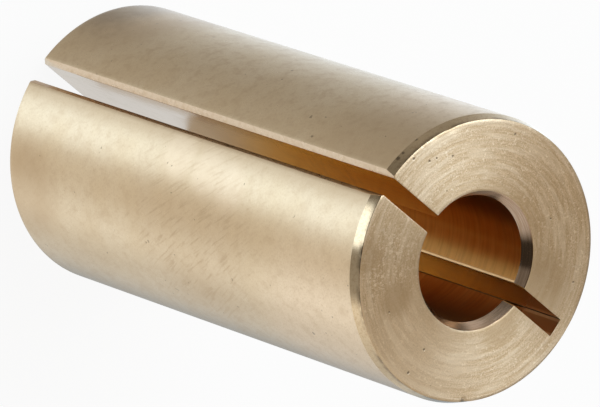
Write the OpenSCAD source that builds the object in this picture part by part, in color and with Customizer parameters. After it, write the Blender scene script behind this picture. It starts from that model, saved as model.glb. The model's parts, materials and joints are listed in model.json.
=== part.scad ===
// Split shaft adapter sleeve.
// A plain bronze sleeve that makes up the difference between a shaft and a larger hub bore.
// One saw cut runs the whole length: through the wall on the -Y side, across the bore, and part of the
// way into the opposite wall. The thin web left there lets the sleeve close on the shaft.
// The sleeve stands on its foot end, with the bore along +Z and the lead-in end on top.
// All sizes are in millimetres.

/* [Sleeve] */
// Outer diameter, the bore of the hub that the sleeve goes into
outer_d = 25; // [20:0.5:40]
// Bore diameter, the shaft that the sleeve goes over
bore_d = 11; // [6:0.5:15]
// Overall length
length = 52; // [20:1:90]

/* [Saw cut] */
// Width of the saw cut
cut_w = 1.7; // [1:0.1:3]
// Thickness of the web that the cut leaves opposite the slot
web = 1.4; // [0.8:0.1:2.2]
// Broken edge along the slot's two corners on the outside
slot_edge = 0.45; // [0.1:0.05:0.8]
// Broken edge where the cut meets the bore
bore_edge = 0.05; // [0.05:0.05:0.4]

/* [Ends] */
// Length of the lead-in chamfer around the top end
lead_l = 1; // [0.5:0.1:3]
// Depth of the lead-in chamfer
lead_depth = 0.3; // [0.1:0.05:0.9]
// Length of the chamfer in the bore's mouth
mouth_l = 0.95; // [0.3:0.05:2]
// Depth of the chamfer in the bore's mouth
mouth_depth = 0.55; // [0.2:0.05:1]
// Broken edge around the foot end, outside and in the bore
foot_edge = 0.1; // [0.05:0.05:0.5]

/* [Hidden] */
outer_r = outer_d / 2;
bore_r = bore_d / 2;
// Half the width of the saw cut
cut_half = cut_w / 2;
// How far from the axis the cut's walls meet the outside and the bore
outer_corner = sqrt(outer_r * outer_r - cut_half * cut_half);
bore_corner = sqrt(bore_r * bore_r - cut_half * cut_half);
// How far the cut reaches into the wall opposite the slot
cut_reach = outer_r - web;
// How far the cut runs past the surfaces that it opens
overrun = 1;
$fn = 128;

// Half section of the turned blank, radius across and height up
module blank_section() {
    polygon([
        [bore_r + foot_edge, 0],
        [outer_r - foot_edge, 0],
        [outer_r, foot_edge],
        [outer_r, length - lead_l],
        [outer_r - lead_depth, length],
        [bore_r + mouth_depth, length],
        [bore_r, length - mouth_l],
        [bore_r, foot_edge]
    ]);
}

// One side of the saw cut's outline, from the slot's mouth to the floor of the cut
function cut_side(side) = [
    [side * (cut_half + slot_edge + overrun), -outer_corner - overrun],
    [side * cut_half, -outer_corner + slot_edge],
    [side * cut_half, -bore_corner - bore_edge],
    [side * (cut_half + 2 * bore_edge), -bore_corner + bore_edge],
    [side * (cut_half + 2 * bore_edge), bore_corner - bore_edge],
    [side * cut_half, bore_corner + bore_edge],
    [side * cut_half, cut_reach]
];

// The saw cut with its broken edges, along the whole length
module saw_cut() {
    left = cut_side(-1);
    right = cut_side(1);
    last = len(right) - 1;
    translate([0, 0, -overrun])
        linear_extrude(length + 2 * overrun)
            polygon(concat(left, [for (i = [last : -1 : 0]) right[i]]));
}

// The sleeve, turned from one bar and slit
module split_sleeve() {
    color([0.78, 0.68, 0.52])
        difference() {
            rotate_extrude() blank_section();
            saw_cut();
        }
}

split_sleeve();
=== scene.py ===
import json
import math

import bmesh
import bpy
from mathutils import Matrix, Vector, noise


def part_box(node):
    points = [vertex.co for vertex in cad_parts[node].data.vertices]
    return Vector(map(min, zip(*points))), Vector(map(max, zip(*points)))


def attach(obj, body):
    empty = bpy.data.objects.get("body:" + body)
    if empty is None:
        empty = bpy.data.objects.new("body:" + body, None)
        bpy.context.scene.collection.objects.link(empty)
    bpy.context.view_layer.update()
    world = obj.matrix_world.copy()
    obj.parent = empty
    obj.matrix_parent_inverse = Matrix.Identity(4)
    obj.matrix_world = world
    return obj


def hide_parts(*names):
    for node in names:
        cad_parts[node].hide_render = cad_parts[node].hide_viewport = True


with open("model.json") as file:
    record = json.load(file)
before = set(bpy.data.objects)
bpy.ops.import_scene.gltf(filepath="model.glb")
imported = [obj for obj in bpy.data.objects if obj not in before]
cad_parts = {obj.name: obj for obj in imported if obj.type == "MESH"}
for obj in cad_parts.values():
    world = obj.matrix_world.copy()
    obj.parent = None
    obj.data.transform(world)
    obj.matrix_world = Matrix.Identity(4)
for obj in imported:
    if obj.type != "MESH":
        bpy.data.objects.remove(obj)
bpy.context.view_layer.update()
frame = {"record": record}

MM = 0.001

# Sizes in millimetres: the frame gives the fits and the length, the rest repeat the sleeve's own drawing.
MOUNTS = {mount["name"]: mount["dims"] for mount in frame["record"]["mounts"]}
OUTER_R = MOUNTS["outer_surface"]["r_mm"]
BORE_R = MOUNTS["shaft_bore"]["r_mm"]
FOOT, TOP = (corner.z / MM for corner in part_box("split_sleeve"))
CUT_HALF = 0.85
WEB = 1.4
SLOT_EDGE = 0.45
BORE_EDGE = 0.05
LEAD_L = 1.0
LEAD_DEPTH = 0.3
MOUTH_L = 0.95
MOUTH_DEPTH = 0.55
FOOT_EDGE = 0.1
CUT_REACH = OUTER_R - WEB

# Small wear on the real edges, in millimetres: their rounding, and how far the slot's edge wanders inwards
EDGE_ROUND = 0.07
SLOT_EDGE_WANDER = 0.025

# The wander's noise: steps in each millimetre of height, and where the two sides and the whole lie in it
WANDER_RATE = 0.35
WANDER_APART = 7.0
WANDER_START = 3.0

# The photo's camera, in degrees and millimetres: it looks down on the lead-in end and is rolled, so that the
# sleeve lies in the picture.
CAMERA_AZIMUTH = 17.108
CAMERA_ELEVATION = 51.959
CAMERA_ROLL = -108.591
CAMERA_DISTANCE = 772.4
CAMERA_LENS = 534.2
CAMERA_AIM = (0.055, 0.327, 26.232)

# Mesh steps: around each half of the bore, down the relief wall, across its floor, and through the wall
BORE_STEPS = 96
RELIEF_STEPS = 16
FLOOR_STEPS = 4
WALL_STEPS = 26

# Mesh rows in the zone above the foot's edge, up the body, in the zone below the lead-in, and up the mouth
END_ZONE = 2.0
FOOT_ROWS = 4
BODY_ROWS = 52
LEAD_ROWS = 8
MOUTH_ROWS = 8

# Angles in degrees on the outside, behind the start of the relief wall, the start of its floor and its middle
RELIEF_BACK = 79.0
FLOOR_BACK = 86.5
MIDDLE_BACK = 90.0

# Mesh edges that turn by fewer degrees than this are smooth
CREASE = 12.0

# Finishes, in the order of the material slots
OUTSIDE, FACED, LEAD, BORE, MOUTH, CUT, FILED, BORE_EDGED = range(8)


def corner_on_circle(radius):
    """How far from the axis the saw cut's wall meets a circle."""
    return math.sqrt(radius * radius - CUT_HALF * CUT_HALF)


def outer_radius(z):
    """Radius of the outside at a height, with the foot's broken edge and the lead-in chamfer."""
    foot = min(1.0, (z - FOOT) / FOOT_EDGE)
    lead = max(0.0, (z - (TOP - LEAD_L)) / LEAD_L)
    return OUTER_R - FOOT_EDGE * (1 - foot) - LEAD_DEPTH * lead


def inner_radius(z):
    """Radius of the bore at a height, with the foot's broken edge and the chamfered mouth."""
    foot = min(1.0, (z - FOOT) / FOOT_EDGE)
    mouth = max(0.0, (z - (TOP - MOUTH_L)) / MOUTH_L)
    return BORE_R + FOOT_EDGE * (1 - foot) + MOUTH_DEPTH * mouth


def on_circle(radius, angle):
    return Vector((radius * math.cos(angle), radius * math.sin(angle)))


def spread(first, last, steps):
    """Even steps after the first value, up to and including the last one."""
    return [first + (last - first) * step / steps for step in range(1, steps + 1)]


def broken_corner(start_y, radius, towards_axis):
    """Where a 45 degree broken edge that starts on the cut's wall meets a circle."""
    slope = 1 if towards_axis else -1
    b = CUT_HALF + slope * start_y
    c = CUT_HALF ** 2 + start_y ** 2 - radius ** 2
    root = math.sqrt(b * b - 2 * c)
    run = (-b - root) / 2 if towards_axis else (-b + root) / 2
    return Vector((CUT_HALF + run, start_y + slope * run))


def inner_side(z):
    """One half of the inner boundary at a height: slot, bore, relief wall and relief floor."""
    radius = inner_radius(z)
    start = -corner_on_circle(radius) - BORE_EDGE
    corner = broken_corner(start, radius, True)
    first = math.atan2(corner.y, corner.x)
    points = [Vector((CUT_HALF, start)), corner]
    points += [on_circle(radius, angle) for angle in spread(first, -first, BORE_STEPS)]
    points.append(Vector((CUT_HALF, -start)))
    points += [Vector((CUT_HALF, y)) for y in spread(-start, CUT_REACH, RELIEF_STEPS)]
    points += [Vector((x, CUT_REACH)) for x in spread(CUT_HALF, 0.0, FLOOR_STEPS)]
    return points


def outer_side(z, side):
    """One half of the outer boundary at a height: the slot's broken edge, then the turned outside."""
    radius = outer_radius(z)
    place = Vector((z * WANDER_RATE, side * WANDER_APART, WANDER_START))
    wander = SLOT_EDGE_WANDER * abs(noise.noise(place))
    start = -corner_on_circle(OUTER_R) + SLOT_EDGE + wander
    corner = broken_corner(start, radius, False)
    first = math.atan2(corner.y, corner.x)
    relief, floor, middle = (math.radians(angle) for angle in (RELIEF_BACK, FLOOR_BACK, MIDDLE_BACK))
    angles = spread(first, relief, BORE_STEPS)
    angles += spread(relief, floor, RELIEF_STEPS + 1)
    angles += spread(floor, middle, FLOOR_STEPS)
    return [Vector((CUT_HALF, start)), corner] + [on_circle(radius, angle) for angle in angles]


def whole(half_left, half_right):
    """Joins two halves into one row of points, from the slot's left wall round to its right wall."""
    left = [Vector((-point.x, point.y)) for point in half_left]
    return left + list(reversed(half_right))[1:]


def levels():
    """Heights of the mesh rows, closer together near the ends, where the chamfers and the nicks are."""
    body = TOP - LEAD_L
    mouth = TOP - MOUTH_L
    heights = [FOOT, FOOT + FOOT_EDGE]
    heights += spread(FOOT + FOOT_EDGE, FOOT + END_ZONE, FOOT_ROWS)
    heights += spread(FOOT + END_ZONE, body - END_ZONE, BODY_ROWS)
    heights += spread(body - END_ZONE, body, LEAD_ROWS)
    heights += [mouth]
    heights += spread(mouth, TOP, MOUTH_ROWS)
    return heights


def row_finishes():
    """Finish of each step along the inner boundary, over both halves."""
    half = [BORE_EDGED] + [BORE] * BORE_STEPS + [BORE_EDGED] + [CUT] * (RELIEF_STEPS + FLOOR_STEPS)
    return half + half[::-1]


# Nicks on the lead-in end's rim: angle in degrees, width, depth inwards and drop, in millimetres
NICKS = (
    (-127, 0.6, 0.06, 0.04),
    (-118, 0.4, 0.03, 0.05),
    (35, 0.4, 0.10, 0.10),
    (-61, 0.3, 0.04, 0.04),
)


def nicked(point):
    """Pushes a point near a nick on the rim inwards and down."""
    rim = OUTER_R - LEAD_DEPTH
    for angle, width, depth, drop in NICKS:
        centre = Vector((*on_circle(rim, math.radians(angle)), TOP))
        near = (point - centre).length / width
        if near < 1:
            amount = (1 - near * near) ** 2
            inwards = -centre.xy.normalized() * depth * amount
            point = point + Vector((*inwards, -drop * amount))
    return point


def build_sleeve():
    """The sleeve as a bent block: outside, inside, the slot's two walls and the two ends."""
    heights = levels()
    inner = [whole(inner_side(z), inner_side(z)) for z in heights]
    outer = [whole(outer_side(z, -1), outer_side(z, 1)) for z in heights]
    last_row = len(inner[0]) - 1
    last_level = len(heights) - 1
    rim = WALL_STEPS
    mesh = bmesh.new()
    made = {}

    def vertex(row, step, level):
        key = (row, step, level)
        if key not in made:
            flat = inner[level][row].lerp(outer[level][row], step / WALL_STEPS)
            made[key] = mesh.verts.new(nicked(Vector((*flat, heights[level]))) * MM)
        return made[key]

    def quad(keys, finish):
        face = mesh.faces.new([vertex(*key) for key in keys])
        face.material_index = finish
        face.smooth = True

    inside = row_finishes()
    for level in range(last_level):
        above = level + 1
        middle = (heights[level] + heights[above]) / 2
        for row in range(last_row):
            beside = row + 1
            in_slot_edge = row in (0, last_row - 1)
            finish = LEAD if middle > TOP - LEAD_L else OUTSIDE
            finish = FILED if in_slot_edge else finish
            quad([(beside, rim, level), (row, rim, level), (row, rim, above), (beside, rim, above)], finish)
            finish = inside[row]
            finish = MOUTH if finish == BORE and middle > TOP - MOUTH_L else finish
            quad([(row, 0, level), (beside, 0, level), (beside, 0, above), (row, 0, above)], finish)
        for step in range(WALL_STEPS):
            far = step + 1
            quad([(0, far, level), (0, step, level), (0, step, above), (0, far, above)], CUT)
            quad([(last_row, step, level), (last_row, far, level), (last_row, far, above),
                  (last_row, step, above)], CUT)
    for row in range(last_row):
        beside = row + 1
        for step in range(WALL_STEPS):
            far = step + 1
            quad([(row, step, last_level), (beside, step, last_level), (beside, far, last_level),
                  (row, far, last_level)], FACED)
            quad([(beside, step, 0), (row, step, 0), (row, far, 0), (beside, far, 0)], FACED)
    return mesh


def mark_creases(mesh):
    """Keeps the saw's edges in the bore and all inner corners sharp, and marks other edges to be rounded."""
    weight = mesh.edges.layers.float.new("bevel_weight_edge")
    for edge in mesh.edges:
        angle = edge.calc_face_angle_signed(0.0)
        if abs(angle) < math.radians(CREASE):
            continue
        in_bore = any(face.material_index == BORE_EDGED for face in edge.link_faces)
        if in_bore or angle < 0:
            edge.smooth = False
        else:
            edge[weight] = 1.0


def add_sleeve(finishes):
    mesh = build_sleeve()
    mesh.normal_update()
    mark_creases(mesh)
    data = bpy.data.meshes.new("bronze_sleeve")
    mesh.to_mesh(data)
    mesh.free()
    piece = bpy.data.objects.new("bronze_sleeve", data)
    bpy.context.scene.collection.objects.link(piece)
    for finish in finishes:
        data.materials.append(finish)
    bevel = piece.modifiers.new("edges", "BEVEL")
    bevel.width = EDGE_ROUND * MM
    bevel.segments = 2
    bevel.limit_method = "WEIGHT"
    bevel.use_clamp_overlap = True
    normals = piece.modifiers.new("normals", "WEIGHTED_NORMAL")
    normals.keep_sharp = True
    normals.weight = 80
    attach(piece, "root")
    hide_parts("split_sleeve")


class Nodes:
    """A node tree with short calls for the nodes that the finishes use."""

    def __init__(self, tree):
        self.tree = tree
        tree.nodes.clear()

    def add(self, kind, inputs=(), **settings):
        node = self.tree.nodes.new(kind)
        for name, value in settings.items():
            setattr(node, name, value)
        for name, value in dict(inputs).items():
            self.put(node.inputs[name], value)
        return node

    def put(self, socket, value):
        if isinstance(value, bpy.types.NodeSocket):
            self.tree.links.new(value, socket)
        else:
            socket.default_value = value

    def math(self, operation, first, second=0.0, third=0.0):
        return self.add("ShaderNodeMath", {0: first, 1: second, 2: third}, operation=operation).outputs[0]

    def times(self, first, second):
        return self.math("MULTIPLY", first, second)

    def scaled(self, value, factor, added):
        """A value times a factor, and something added."""
        return self.math("MULTIPLY_ADD", value, factor, added)

    def combine(self, x, y, z):
        return self.add("ShaderNodeCombineXYZ", {0: x, 1: y, 2: z}).outputs[0]

    def noise(self, vector, scale, detail=2.0, roughness=0.5):
        inputs = {"Vector": vector, "Scale": scale, "Detail": detail, "Roughness": roughness}
        return self.add("ShaderNodeTexNoise", inputs).outputs["Fac"]

    def ramp(self, value, low, high, to_low=0.0, to_high=1.0):
        """A soft step from one value to another, between a low and a high limit."""
        inputs = {0: value, 1: low, 2: high, 3: to_low, 4: to_high}
        return self.add("ShaderNodeMapRange", inputs, interpolation_type="SMOOTHSTEP").outputs[0]

    def blend(self, amount, first, second):
        node = self.add("ShaderNodeMix", data_type="RGBA")
        colours = [socket for socket in node.inputs if socket.type == "RGBA"]
        self.put(node.inputs[0], amount)
        self.put(colours[0], first)
        self.put(colours[1], second)
        return [socket for socket in node.outputs if socket.type == "RGBA"][0]

    def bump(self, height, strength, distance):
        inputs = {"Height": height, "Strength": strength, "Distance": distance}
        return self.add("ShaderNodeBump", inputs).outputs["Normal"]


# Colours, linear
BRONZE = (0.745, 0.591, 0.384, 1)
BRONZE_DARK = (0.60, 0.44, 0.265, 1)
BRONZE_PALE = (0.815, 0.68, 0.482, 1)
BRONZE_LIGHT = (0.845, 0.672, 0.465, 1)
FACED_BRONZE = (0.65, 0.508, 0.345, 1)
FACED_DARK = (0.44, 0.318, 0.19, 1)
FACED_PALE = (0.81, 0.695, 0.54, 1)
BORED = (0.91, 0.545, 0.175, 1)
BORED_DARK = (0.83, 0.46, 0.135, 1)
BORED_PALE = (0.98, 0.67, 0.23, 1)
BORED_DEEP = (0.22, 0.08, 0.025, 1)
BORED_DULL = (0.63, 0.485, 0.325, 1)
BURNISHED = (0.80, 0.54, 0.27, 1)
MOUTH_BRONZE = (0.77, 0.555, 0.395, 1)
MOUTH_DARK = (0.62, 0.42, 0.27, 1)
SAWN = (0.53, 0.375, 0.245, 1)
SAWN_PALE = (0.655, 0.515, 0.37, 1)
SAWN_GOLD = (0.94, 0.755, 0.255, 1)
SAWN_WARM = (0.79, 0.60, 0.28, 1)
SAWN_DEEP = (0.53, 0.405, 0.24, 1)
SAWN_FLOOR = (0.52, 0.26, 0.09, 1)
SAWN_HIGHLIGHT = (0.80, 0.50, 0.22, 1)
FILED_PALE = (0.82, 0.672, 0.50, 1)
FILED_BRONZE = (0.76, 0.605, 0.425, 1)
FILED_SHADE = (0.46, 0.275, 0.12, 1)
# Dark dirt, and painted shade where it darkens the mouth's reflection and the corner by the relief's floor
GRIME_AND_SHADE = (0.09, 0.06, 0.035, 1)

# Share of a spot's size that has its full strength
SPOT_CORE = 0.4

# How far the scratches on the outside turn round it in each millimetre of height
SCRATCH_SLOPE = 0.7

# Spots on the outside: angle in degrees, height and size, in millimetres, and the strength where they differ
# Paler patches near the lead-in end
PALE_PATCHES = ((-157, 47.0, 10.0), (-8, 47.0, 14.0))
BRIGHT_STREAK = ((-75, 24.5, 3.0), (-72, 29.0, 3.0), (-69, 32.5, 3.0))
LEAD_SPECKS = ((-113, 51.0, 0.22), (-102, 51.2, 0.28), (-105, 51.2, 0.2))
DULL_PATCHES = ((-143, 4.0, 9.5, 0.9), (-106, 47.0, 9.0, 0.4), (-41, 2.5, 6.0, 0.65))

# Spots on the lead-in end: distance from the axis, angle in degrees and size, in millimetres
PITS = (
    (11.8, -106, 0.16), (10.6, -112, 0.14), (10.4, -116, 0.12), (9.8, -125, 0.13), (11.2, -161, 0.15),
    (11.2, 1, 0.17), (8.8, 2, 0.15), (9.6, -31, 0.11), (8.3, 148, 0.12), (10.9, 112, 0.13),
)
WORN_SPOTS = ((6.5, 63, 2.6), (7.6, 104, 4.0), (11.6, -60, 2.0), (8.6, -36, 2.2))
# Painted shade: two darker spots in the opposite dark sectors of the end's turned rings
SECTOR_SHADE_SPOTS = ((9.0, -66, 4.5), (9.0, 103, 4.5))
FLECKED_SPOTS = ((9.3, -58, 4.2),)
CLEAN_SPOTS = ((9.0, -3, 8.0),)

# Paler bands along the bore: angle round the axis and half width, in degrees, and strength
BORE_BANDS = ((111.0, 11.0, 1.0), (129.0, 6.0, 0.5))

# How far the mouth's shading faces up more than its chamfer, added to the normal: mostly, and by the slot
MOUTH_RISE = 0.35
MOUTH_RISE_BY_SLOT = 2.2 * MOUTH_RISE


class Finish(Nodes):
    """A bronze finish with coordinates in millimetres: place, x, y, z, radius, and turn along the outside."""

    def __init__(self, name, anisotropic=0.0):
        self.material = bpy.data.materials.new(name)
        self.material.use_nodes = True
        super().__init__(self.material.node_tree)
        self.shader = self.add("ShaderNodeBsdfPrincipled", {"Metallic": 1.0})
        out = self.add("ShaderNodeOutputMaterial")
        self.put(out.inputs["Surface"], self.shader.outputs[0])
        coordinates = self.add("ShaderNodeTexCoord").outputs["Object"]
        scaled = self.add("ShaderNodeVectorMath", {0: coordinates}, operation="SCALE")
        scaled.inputs["Scale"].default_value = 1 / MM
        self.place = scaled.outputs[0]
        self.x, self.y, self.z = self.add("ShaderNodeSeparateXYZ", {0: self.place}).outputs
        square = self.scaled(self.x, self.x, self.times(self.y, self.y))
        self.radius = self.math("SQRT", square)
        self.turn = self.times(self.math("ARCTAN2", self.y, self.x), OUTER_R)
        if anisotropic:
            self.shader.inputs["Anisotropic"].default_value = anisotropic
            self.shader.inputs["Anisotropic Rotation"].default_value = 0.25
            tangent = self.add("ShaderNodeTangent", direction_type="RADIAL", axis="Z")
            self.put(self.shader.inputs["Tangent"], tangent.outputs[0])

    def set(self, socket, value):
        self.put(self.shader.inputs[socket], value)

    def grain(self, scale, detail, roughness):
        """Noise that is even in all directions."""
        return self.noise(self.place, scale, detail, roughness)

    def lines(self, across, along, fineness, stretch, detail):
        """Noise in lines: fine across, drawn out along."""
        flat = self.combine(self.times(across, fineness), self.times(along, stretch), 0.0)
        return self.noise(flat, 1.0, detail)

    def rings(self, across, fineness, stretch, detail):
        """Noise in rings round the axis: fine across, drawn out round it."""
        outward = [self.math("DIVIDE", side, self.radius) for side in (self.x, self.y)]
        round_it = [self.times(side, OUTER_R * stretch) for side in outward]
        return self.noise(self.combine(*round_it, self.times(across, fineness)), 1.0, detail)

    def spot(self, radius, degrees, height, size):
        """1 at a place round the axis, falling to 0 at the spot's edge."""
        point = (*on_circle(radius, math.radians(degrees)), height)
        away = self.add("ShaderNodeVectorMath", {0: self.place, 1: point}, operation="DISTANCE")
        return self.ramp(away.outputs["Value"], size * SPOT_CORE, size, 1.0, 0.0)

    def side_spots(self, rows):
        return self.any_of([self.spot(OUTER_R, *row) for row in rows])

    def end_spots(self, rows):
        return self.any_of([self.spot(radius, degrees, TOP, size) for radius, degrees, size in rows])

    def any_of(self, masks):
        total = masks[0]
        for mask in masks[1:]:
            total = self.math("MAXIMUM", total, mask)
        return total

    def positive(self, value):
        return self.math("GREATER_THAN", value, 0.0)

    def negative(self, value):
        return self.math("LESS_THAN", value, 0.0)

    def tint(self, colour, mask, share, other):
        """Blends a share of another colour in where a mask says."""
        return self.blend(self.times(mask, share), colour, other)


def outside_finish():
    """Fine turned outside: satin, with faint rings, scratches, specks, pale and dull patches, and darker
    beside the slot.
    """
    finish = Finish("bronze_turned", anisotropic=0.4)
    rings = finish.rings(finish.z, fineness=7.0, stretch=0.12, detail=3.0)
    grain = finish.grain(scale=5.5, detail=3.0, roughness=0.75)
    mottle = finish.grain(scale=0.9, detail=4.0, roughness=0.65)
    cloud = finish.grain(scale=0.2, detail=3.0, roughness=0.55)
    dirt = finish.grain(scale=1.15, detail=2.0, roughness=0.6)
    along = finish.scaled(finish.turn, -SCRATCH_SLOPE, finish.z)
    across = finish.scaled(finish.z, SCRATCH_SLOPE, finish.turn)
    lines = finish.lines(across, along, fineness=3.2, stretch=0.3, detail=3.0)
    scratched = finish.spot(OUTER_R, degrees=-48, height=27.5, size=11.5)
    scratches = finish.times(finish.ramp(lines, 0.50, 0.68), finish.scaled(scratched, 0.8, 0.2))
    colour = finish.tint(BRONZE, finish.ramp(cloud, 0.35, 0.65), 0.4, BRONZE_PALE)
    colour = finish.blend(finish.side_spots(PALE_PATCHES), colour, BRONZE_LIGHT)
    for *row, share in DULL_PATCHES:
        colour = finish.tint(colour, finish.spot(OUTER_R, *row), share, BRONZE_DARK)
    by_slot = finish.times(finish.positive(finish.x), finish.negative(finish.y))
    # Darker on the outside beside the slot's +X edge
    darker_by_slot = finish.times(finish.ramp(finish.x, 1.7, 3.3, to_low=0.5, to_high=0.0), by_slot)
    colour = finish.blend(darker_by_slot, colour, BRONZE_DARK)
    colour = finish.tint(colour, scratched, 0.32, BRONZE_DARK)
    handled = finish.ramp(finish.x, -6.0, -1.0, to_low=0.58, to_high=0.34)
    colour = finish.tint(colour, finish.ramp(mottle, 0.45, 0.70), handled, BRONZE_DARK)
    colour = finish.tint(colour, finish.ramp(grain, 0.46, 0.72), 0.45, BRONZE_DARK)
    colour = finish.tint(colour, scratches, 0.5, BRONZE_DARK)
    colour = finish.tint(colour, finish.side_spots(BRIGHT_STREAK), 0.45, BRONZE_LIGHT)
    smudge = finish.spot(OUTER_R, degrees=-125, height=3.0, size=4.2)
    smudge = finish.times(smudge, finish.ramp(mottle, 0.35, 0.6))
    colour = finish.tint(colour, smudge, 0.09, GRIME_AND_SHADE)
    foot_rim = finish.spot(OUTER_R, degrees=-137, height=0.5, size=5.5)
    colour = finish.tint(colour, foot_rim, 0.33, GRIME_AND_SHADE)
    colour = finish.tint(colour, finish.ramp(dirt, 0.72, 0.755), 0.5, GRIME_AND_SHADE)
    finish.set("Base Color", colour)
    rough = finish.scaled(grain, 0.12, 0.20)
    rough = finish.scaled(mottle, 0.08, rough)
    finish.set("Roughness", finish.scaled(scratches, 0.08, rough))
    height = finish.scaled(rings, 0.5, finish.times(grain, 0.6))
    height = finish.scaled(scratches, -0.6, height)
    finish.set("Normal", finish.bump(height, strength=0.26, distance=0.02 * MM))
    return finish.material


def faced_finish():
    """Faced ends: fine rings left by the turning tool, with grain, pale flecks, pits and worn spots."""
    finish = Finish("bronze_faced", anisotropic=0.65)
    feed = finish.rings(finish.radius, fineness=4.5, stretch=0.16, detail=3.0)
    arcs = finish.rings(finish.radius, fineness=1.8, stretch=0.2, detail=2.0)
    streaks = finish.rings(finish.radius, fineness=8.0, stretch=0.9, detail=3.0)
    grain = finish.grain(scale=7.0, detail=3.0, roughness=0.75)
    cloud = finish.grain(scale=0.5, detail=3.0, roughness=0.6)
    flecks = finish.grain(scale=3.2, detail=3.0, roughness=0.7)
    more_flecks = finish.grain(scale=4.2, detail=3.0, roughness=0.65)
    more_flecks = finish.times(finish.end_spots(FLECKED_SPOTS), finish.ramp(more_flecks, 0.53, 0.63))
    holes = finish.grain(scale=1.9, detail=2.0, roughness=0.6)
    pits = finish.any_of([finish.end_spots(PITS), finish.ramp(holes, 0.755, 0.78)])
    colour = finish.tint(FACED_BRONZE, finish.ramp(streaks, 0.35, 0.65), 0.6, FACED_DARK)
    colour = finish.tint(colour, finish.ramp(feed, 0.45, 0.65), 0.4, FACED_PALE)
    colour = finish.tint(colour, finish.ramp(grain, 0.45, 0.65), 0.9, FACED_DARK)
    colour = finish.tint(colour, finish.ramp(cloud, 0.5, 0.75), 0.25, FACED_DARK)
    colour = finish.tint(colour, finish.ramp(flecks, 0.58, 0.68), 0.8, FACED_PALE)
    colour = finish.blend(more_flecks, colour, FACED_PALE)
    colour = finish.tint(colour, finish.ramp(arcs, 0.45, 0.65), 0.35, FACED_PALE)
    colour = finish.tint(colour, finish.end_spots(CLEAN_SPOTS), 0.34, FACED_PALE)
    # Painted shade in the two dark sectors
    colour = finish.tint(colour, finish.end_spots(SECTOR_SHADE_SPOTS), 0.2, FACED_DARK)
    colour = finish.blend(finish.ramp(finish.radius, 6.0, 8.6, to_low=0.35, to_high=0.0), colour, FACED_DARK)
    colour = finish.tint(colour, finish.end_spots(WORN_SPOTS), 0.6, FACED_DARK)
    finish.set("Base Color", finish.tint(colour, pits, 0.7, GRIME_AND_SHADE))
    finish.set("Roughness", finish.scaled(streaks, 0.2, 0.24))
    height = finish.scaled(feed, 0.5, finish.times(grain, 0.5))
    height = finish.scaled(pits, -1.0, height)
    finish.set("Normal", finish.bump(height, strength=0.45, distance=0.04 * MM))
    return finish.material


def lead_finish():
    """Lead-in chamfer: turned smooth, with fine marks, patchy dirt along the rim and a few specks."""
    finish = Finish("bronze_lead_in")
    marks = finish.grain(scale=3.0, detail=3.0, roughness=0.7)
    patches = finish.grain(scale=0.45, detail=3.0, roughness=0.6)
    rim = finish.ramp(finish.z, TOP - 0.5, TOP - 0.05)
    colour = finish.tint(BRONZE, finish.ramp(marks, 0.45, 0.7), 0.7, BRONZE_DARK)
    colour = finish.tint(colour, finish.times(rim, finish.ramp(patches, 0.42, 0.6)), 0.5, GRIME_AND_SHADE)
    colour = finish.tint(colour, finish.side_spots(LEAD_SPECKS), 0.65, GRIME_AND_SHADE)
    finish.set("Base Color", colour)
    finish.set("Roughness", finish.scaled(marks, 0.12, 0.09))
    return finish.material


def bored_finish():
    """Bore: soft rings and paler bands, stained at its sides by the lead-in end and duller by the foot.

    A burnished strip runs along one side of the relief.
    """
    finish = Finish("bronze_bored", anisotropic=0.2)
    rings = finish.rings(finish.z, fineness=1.3, stretch=0.1, detail=2.0)
    streaks = finish.rings(finish.z, fineness=3.0, stretch=0.1, detail=3.0)
    fading = finish.ramp(finish.z, 40.0, 51.0, to_low=1.0, to_high=0.7)
    colour = finish.blend(finish.ramp(rings, 0.3, 0.7), BORED_DARK, BORED)
    for angle, width, amount in BORE_BANDS:
        away = finish.math("ABSOLUTE", finish.math("SUBTRACT", finish.turn, OUTER_R * math.radians(angle)))
        band = finish.ramp(away, 0.0, OUTER_R * math.radians(width), to_low=amount, to_high=0.0)
        colour = finish.tint(colour, band, fading, BORED_PALE)
    colour = finish.tint(colour, finish.ramp(streaks, 0.45, 0.65), 0.14, BORED_DEEP)
    colour = finish.blend(finish.ramp(finish.z, 3.0, 17.0), BORED_DULL, colour)
    left = finish.ramp(finish.x, -5.65, -4.45, to_low=1.0, to_high=0.0)
    right = finish.ramp(finish.x, 0.5, 4.6)
    stains = finish.times(finish.any_of([left, right]), finish.ramp(finish.z, 36.0, 44.0))
    colour = finish.tint(colour, stains, 0.85, BORED_DEEP)
    by_relief = finish.times(finish.ramp(finish.x, -1.2, -1.0), finish.negative(finish.x))
    burnished = finish.times(by_relief, finish.positive(finish.y))
    finish.set("Base Color", finish.blend(burnished, colour, BURNISHED))
    rough = finish.scaled(rings, 0.1, 0.36)
    finish.set("Roughness", finish.scaled(burnished, -0.17, rough))
    return finish.material


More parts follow.
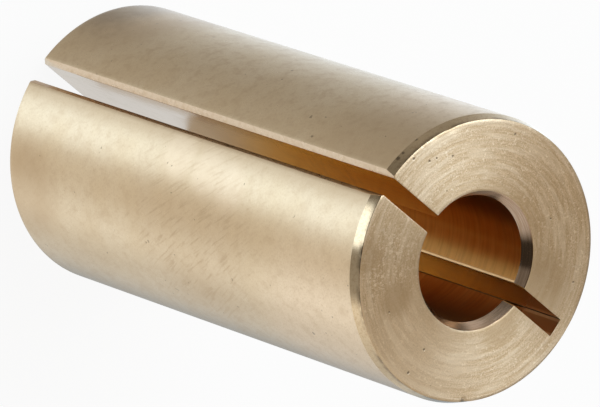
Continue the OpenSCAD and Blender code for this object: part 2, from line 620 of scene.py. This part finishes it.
def mouth_finish():
    """The bore's chamfered mouth: turned rings, whose fine steps face up more than the chamfer itself.

    They face up most by the slot, and a spot of painted shade on the +X side darkens a bright reflection
    there.
    """
    finish = Finish("bronze_mouth", anisotropic=0.8)
    rings = finish.rings(finish.z, fineness=9.0, stretch=0.2, detail=2.0)
    colour = finish.blend(finish.ramp(rings, 0.35, 0.65), MOUTH_DARK, MOUTH_BRONZE)
    # Painted shade: a dark spot on the +X side that darkens a bright reflection in the mouth
    mouth_reflection_shade = finish.spot(BORE_R, degrees=15, height=TOP - 0.4, size=2.6)
    finish.set("Base Color", finish.tint(colour, mouth_reflection_shade, 0.75, GRIME_AND_SHADE))
    normal = finish.add("ShaderNodeNewGeometry").outputs["Normal"]
    rise = finish.ramp(finish.y, -3.6, -1.2, to_low=MOUTH_RISE_BY_SLOT, to_high=MOUTH_RISE)
    upwards = finish.combine(0.0, 0.0, rise)
    raised = finish.add("ShaderNodeVectorMath", {0: normal, 1: upwards}, operation="ADD").outputs[0]
    finish.set("Normal", finish.add("ShaderNodeVectorMath", {0: raised}, operation="NORMALIZE").outputs[0])
    finish.set("Roughness", finish.scaled(rings, 0.08, 0.12))
    return finish.material


def sawn_finish():
    """Sawn walls: smooth, with fine lines and slanting strokes, and painted shade in the corner beside the
    relief's floor.

    They are pale by the foot, golden towards the lead-in end, which is painted reflection, and deeper in the
    relief. The relief's floor is brown at the lead-in end, with a painted highlight along its sides.
    """
    finish = Finish("bronze_sawn")
    lines = finish.lines(finish.y, finish.z, fineness=5.0, stretch=0.25, detail=3.0)
    slant = finish.scaled(finish.y, 0.6, finish.z)
    strokes = finish.lines(slant, finish.y, fineness=2.2, stretch=0.3, detail=3.0)
    mottle = finish.grain(scale=0.8, detail=3.0, roughness=0.6)
    # Painted reflection: the walls turn golden towards the lead-in end, with a mottled edge
    gold_reflection = finish.ramp(finish.scaled(mottle, 8.0, finish.z), 22.5, 47.5)
    plain = finish.blend(finish.ramp(finish.z, 19.5, 23.5), SAWN_PALE, SAWN)
    colour = finish.blend(gold_reflection, plain, SAWN_GOLD)
    deep = finish.blend(finish.ramp(finish.z, 36.0, 50.0), SAWN_WARM, SAWN_DEEP)
    colour = finish.blend(finish.ramp(finish.y, 0.0, 1.0), colour, deep)
    colour = finish.tint(colour, finish.ramp(lines, 0.45, 0.75), 0.4, SAWN_DEEP)
    fading = finish.ramp(finish.z, 40.0, 48.0, to_low=1.0, to_high=0.2)
    colour = finish.tint(colour, finish.ramp(mottle, 0.48, 0.7, to_high=0.35), fading, SAWN_DEEP)
    struck = finish.times(finish.ramp(strokes, 0.45, 0.65), gold_reflection)
    colour = finish.tint(colour, finish.times(struck, 0.3), fading, SAWN_DEEP)
    on_floor = finish.math("GREATER_THAN", finish.y, CUT_REACH - 0.01)
    # Painted shade: the wall darkens along its corner with the relief's floor
    corner = finish.math("SUBTRACT", finish.ramp(finish.y, CUT_REACH - 0.33, CUT_REACH - 0.13), on_floor)
    colour = finish.tint(colour, corner, 0.75, GRIME_AND_SHADE)
    floor_end = finish.times(on_floor, finish.ramp(finish.z, 45.5, 47.5))
    # Painted highlight: a paler strip along the floor's sides, beside the walls
    floor_highlight = finish.ramp(finish.math("ABSOLUTE", finish.x), 0.5, 0.66)
    floor_colour = finish.blend(floor_highlight, SAWN_FLOOR, SAWN_HIGHLIGHT)
    finish.set("Base Color", finish.blend(floor_end, colour, floor_colour))
    rough = finish.scaled(lines, 0.12, 0.06)
    rough = finish.scaled(corner, 0.6, rough)
    finish.set("Roughness", finish.scaled(floor_end, 0.2, rough))
    height = finish.math("ADD", lines, struck)
    finish.set("Normal", finish.bump(height, strength=0.1, distance=0.02 * MM))
    return finish.material


def edge_finish(name, roughness, colour, other, far_side):
    """Broken edges with marks along their length, and another colour on the +X side, which on the filed edges
    is painted shade.
    """
    finish = Finish(name)
    marks = finish.grain(scale=2.5, detail=3.0, roughness=0.6)
    mixed = finish.blend(finish.ramp(marks, 0.4, 0.75), colour, other)
    finish.set("Base Color", finish.blend(finish.positive(finish.x), mixed, far_side))
    finish.set("Roughness", finish.scaled(marks, 0.2, roughness - 0.1))
    return finish.material


def towards(azimuth, elevation):
    """Unit vector by its angle round the object, from -Y towards +X, and its angle upwards, in degrees."""
    turn = math.radians(azimuth)
    rise = math.radians(elevation)
    level = math.cos(rise)
    return Vector((math.sin(turn) * level, -math.cos(turn) * level, math.sin(rise)))


def add_camera():
    data = bpy.data.cameras.new("camera")
    camera = bpy.data.objects.new("camera", data)
    bpy.context.scene.collection.objects.link(camera)
    data.lens = CAMERA_LENS
    data.sensor_width = 36
    data.sensor_fit = "HORIZONTAL"
    data.clip_start = 0.01
    data.clip_end = 10
    back = towards(CAMERA_AZIMUTH, CAMERA_ELEVATION)
    level_right = Vector((0, 0, 1)).cross(back).normalized()
    level_up = back.cross(level_right)
    roll = math.radians(CAMERA_ROLL)
    up = level_up * math.cos(roll) + level_right * math.sin(roll)
    turn = Matrix((up.cross(back), up, back)).transposed().to_4x4()
    place = Vector(CAMERA_AIM) * MM + back * CAMERA_DISTANCE * MM
    camera.matrix_world = Matrix.Translation(place) @ turn
    bpy.context.scene.camera = camera


# The studio's surroundings by the angle round the object, in degrees from the camera's side towards +X:
# brightness and warmth. From the photo's camera the upright outside mirrors what lies far below the horizon,
# the lead-in chamfer what is nearer to it, the bore's mouth what is about it and over it, and the lead-in end
# what lies high.
BELOW = (
    (-180, 1.3, -3), (-165, 1.2, -3), (-150, 1.08, -2.9), (-130, 0.73, -1.5), (-110, 0.52, -0.2),
    (-90, 0.43, 0.7), (-72, 0.46, 0.9), (-58, 0.52, 1.0), (-40, 0.57, 0.8), (-27, 0.85, -0.8),
    (-12, 1.24, -2.6), (-4, 1.36, -3), (8, 1.38, -2.8), (20, 0.87, 0.2), (30, 0.81, 1.1),
    (48, 0.82, 1.0), (62, 0.98, -0.4), (75, 1.1, -0.7), (90, 0.9, -0.4), (105, 0.74, -0.2),
    (125, 0.77, -0.7), (140, 0.55, -2.4), (155, 0.36, -3.6), (168, 0.42, -3.6), (180, 1.3, -3),
)
LEVEL = (
    (-180, 0.8, -2), (-165, 0.78, -2), (-150, 0.44, 0), (-120, 0.38, 0.8), (-90, 0.31, 1.2),
    (-66, 0.33, 1.4), (-46, 0.22, 1.6), (-15, 0.22, 1.5), (-9, 1.8, -2.5), (14, 1.8, -2.5),
    (18, 0.3, 1.5), (48, 0.4, 1.2), (57, 1.02, 0.6), (72, 0.85, 0.6), (84, 0.72, 0.6),
    (105, 0.54, 0.4), (130, 0.43, 0), (155, 0.24, -1.5), (172, 0.2, -2), (180, 0.8, -2),
)
RISING = (
    (-180, 0.2, 0), (-140, 0.2, 0), (-123, 0.3, 0), (-116, 0.41, 0), (-108, 0.51, 0),
    (-98, 0.49, 0), (-88, 0.35, 0), (-80, 0.26, 0), (-71, 0.18, 0), (-53, 0.12, 0),
    (-30, 0.12, 0), (-12, 0.28, 0), (9, 0.3, 0), (17, 0.04, 0), (52, 0.03, 0),
    (60, 0.27, 0), (68, 0.5, -0.5), (80, 0.56, -0.5), (100, 0.55, -0.5), (114, 0.56, 0),
    (121, 0.57, 0), (127, 0.46, 0), (138, 0.24, 0), (155, 0.16, 0), (180, 0.18, 0),
)
ABOVE = (
    (-180, 0.5, 4), (-150, 0.75, 3), (-115, 0.95, 1.5), (-80, 0.8, 1.5), (-66, 0.55, 2),
    (-52, 0.12, 5), (15, 0.04, 6), (28, 0.04, 6), (50, 0.06, 6), (62, 0.2, 5),
    (90, 0.4, 4.5), (130, 0.78, 4), (160, 0.68, 4), (180, 0.5, 4),
)

# Where each band passes into the next one above it, by the upward part of the direction
TO_LEVEL = (-0.65, -0.40)
TO_RISING = (-0.22, -0.05)
TO_ABOVE = (0.5, 0.75)

# The bands' colours are shares of this brightness
BRIGHTEST = 2.0

# What one step of warmth takes away from green and from blue
WARM_GREEN = 0.045
WARM_BLUE = 0.10

# The floor: its radius in metres, its grey, how much of what the camera sees of it is plain white instead, and
# the light and colour of the patch under the sleeve
FLOOR_RADIUS = 4.0
FLOOR_GREY = (0.9, 0.9, 0.9, 1)
FLOOR_WHITE_SHARE = 0.925
PATCH_LIGHT = 0.86
PATCH_COLOUR = (0.94, 1, 1.07, 1)

WHITE = (1, 1, 1, 1)
LAMP_COLOUR = (0.775, 0.91, 1.02)

# The slot and the bore mirror one another many times.
GLOSSY_BOUNCES = 12


def tinted(brightness, warmth):
    """Colour of a wall: warmth takes some green and more blue away, and less than none adds them."""
    tint = Vector((1.0, 1.0 - WARM_GREEN * warmth, 1.0 - WARM_BLUE * warmth))
    return (*(tint * brightness / BRIGHTEST), 1)


def wall_by_angle(nodes, fraction, stops):
    """Colour of one band of the surroundings, by a fraction of the way round."""
    ramp = nodes.add("ShaderNodeValToRGB", {0: fraction})
    elements = ramp.color_ramp.elements
    while len(elements) > 1:
        elements.remove(elements[-1])
    for index, (angle, brightness, warmth) in enumerate(stops):
        position = (angle + 180) / 360
        element = elements[0] if index == 0 else elements.new(position)
        element.position = position
        element.color = tinted(brightness, warmth)
    return ramp.outputs["Color"]


def add_world():
    """A white room for the camera, and soft bright and dark walls round the object for its metal."""
    world = bpy.data.worlds.new("studio")
    bpy.context.scene.world = world
    world.use_nodes = True
    nodes = Nodes(world.node_tree)
    direction = nodes.add("ShaderNodeTexCoord").outputs["Generated"]
    x, y, z = nodes.add("ShaderNodeSeparateXYZ", {0: direction}).outputs
    sine = math.sin(math.radians(CAMERA_AZIMUTH))
    cosine = math.cos(math.radians(CAMERA_AZIMUTH))
    ahead = nodes.math("ADD", nodes.times(x, sine), nodes.times(y, -cosine))
    aside = nodes.math("ADD", nodes.times(x, cosine), nodes.times(y, sine))
    angle = nodes.math("ARCTAN2", aside, ahead)
    fraction = nodes.scaled(angle, 0.5 / math.pi, 0.5)
    walls = wall_by_angle(nodes, fraction, BELOW)
    for stops, limits in ((LEVEL, TO_LEVEL), (RISING, TO_RISING), (ABOVE, TO_ABOVE)):
        walls = nodes.blend(nodes.ramp(z, *limits), walls, wall_by_angle(nodes, fraction, stops))
    studio = nodes.add("ShaderNodeBackground", {"Color": walls, "Strength": BRIGHTEST})
    white = nodes.add("ShaderNodeBackground", {"Color": WHITE, "Strength": 1.0})
    seen = nodes.add("ShaderNodeLightPath").outputs["Is Camera Ray"]
    mixed = nodes.add("ShaderNodeMixShader", {0: seen, 1: studio.outputs[0], 2: white.outputs[0]})
    nodes.put(nodes.add("ShaderNodeOutputWorld").inputs["Surface"], mixed.outputs[0])


def floor_finish():
    """White with a light shadow for the camera. Mirror rays pass through, except at a dim patch below."""
    material = bpy.data.materials.new("white_floor")
    material.use_nodes = True
    nodes = Nodes(material.node_tree)
    matt = nodes.add("ShaderNodeBsdfDiffuse", {"Color": FLOOR_GREY})
    white = nodes.add("ShaderNodeEmission", {"Color": WHITE, "Strength": 1.0})
    dim = nodes.add("ShaderNodeEmission", {"Color": PATCH_COLOUR, "Strength": PATCH_LIGHT})
    clear = nodes.add("ShaderNodeBsdfTransparent")
    path = nodes.add("ShaderNodeLightPath")
    shown = nodes.times(path.outputs["Is Camera Ray"], FLOOR_WHITE_SHARE)
    seen = nodes.add("ShaderNodeMixShader", {0: shown, 1: matt.outputs[0], 2: white.outputs[0]})
    place = nodes.add("ShaderNodeTexCoord").outputs["Object"]
    away = nodes.add("ShaderNodeVectorMath", {0: place}, operation="LENGTH").outputs["Value"]
    under = nodes.math("LESS_THAN", away, OUTER_R * MM)
    room = nodes.add("ShaderNodeMixShader", {0: under, 1: clear.outputs[0], 2: dim.outputs[0]})
    mirrored = nodes.math("MAXIMUM", path.outputs["Is Glossy Ray"], path.outputs["Is Transmission Ray"])
    surface = nodes.add("ShaderNodeMixShader", {0: mirrored, 1: seen.outputs[0], 2: room.outputs[0]})
    nodes.put(nodes.add("ShaderNodeOutputMaterial").inputs["Surface"], surface.outputs[0])
    return material


def add_floor():
    mesh = bmesh.new()
    bmesh.ops.create_circle(mesh, cap_ends=True, segments=64, radius=FLOOR_RADIUS)
    data = bpy.data.meshes.new("floor")
    mesh.to_mesh(data)
    mesh.free()
    floor = bpy.data.objects.new("floor", data)
    bpy.context.scene.collection.objects.link(floor)
    data.materials.append(floor_finish())


def add_lamp(name, azimuth, elevation, distance, width, height, power):
    """A soft lamp that faces the sleeve, by its angles from the camera's side and level, in metres."""
    data = bpy.data.lights.new(name, "AREA")
    data.shape = "RECTANGLE"
    data.size = width
    data.size_y = height
    data.energy = power
    data.color = LAMP_COLOUR
    lamp = bpy.data.objects.new(name, data)
    bpy.context.scene.collection.objects.link(lamp)
    away = towards(CAMERA_AZIMUTH + azimuth, elevation)
    lamp.location = away * distance + Vector((0, 0, TOP / 2 * MM))
    lamp.rotation_mode = "QUATERNION"
    lamp.rotation_quaternion = away.to_track_quat("Z", "Y")
    lamp.visible_camera = False


def main():
    scene = bpy.context.scene
    scene.view_settings.view_transform = "Standard"
    scene.cycles.glossy_bounces = GLOSSY_BOUNCES
    add_sleeve([
        outside_finish(), faced_finish(), lead_finish(), bored_finish(), mouth_finish(), sawn_finish(),
        # The filed edges' brown +X side is painted shade
        edge_finish("bronze_filed", 0.3, FILED_PALE, FILED_BRONZE, FILED_SHADE),
        edge_finish("bronze_bore_edge", 0.6, BORED_DARK, SAWN_DEEP, BORED_DARK),
    ])
    add_camera()
    add_world()
    add_floor()
    add_lamp("key", azimuth=-112, elevation=59, distance=0.6, width=0.6, height=0.38, power=2.3)


main()
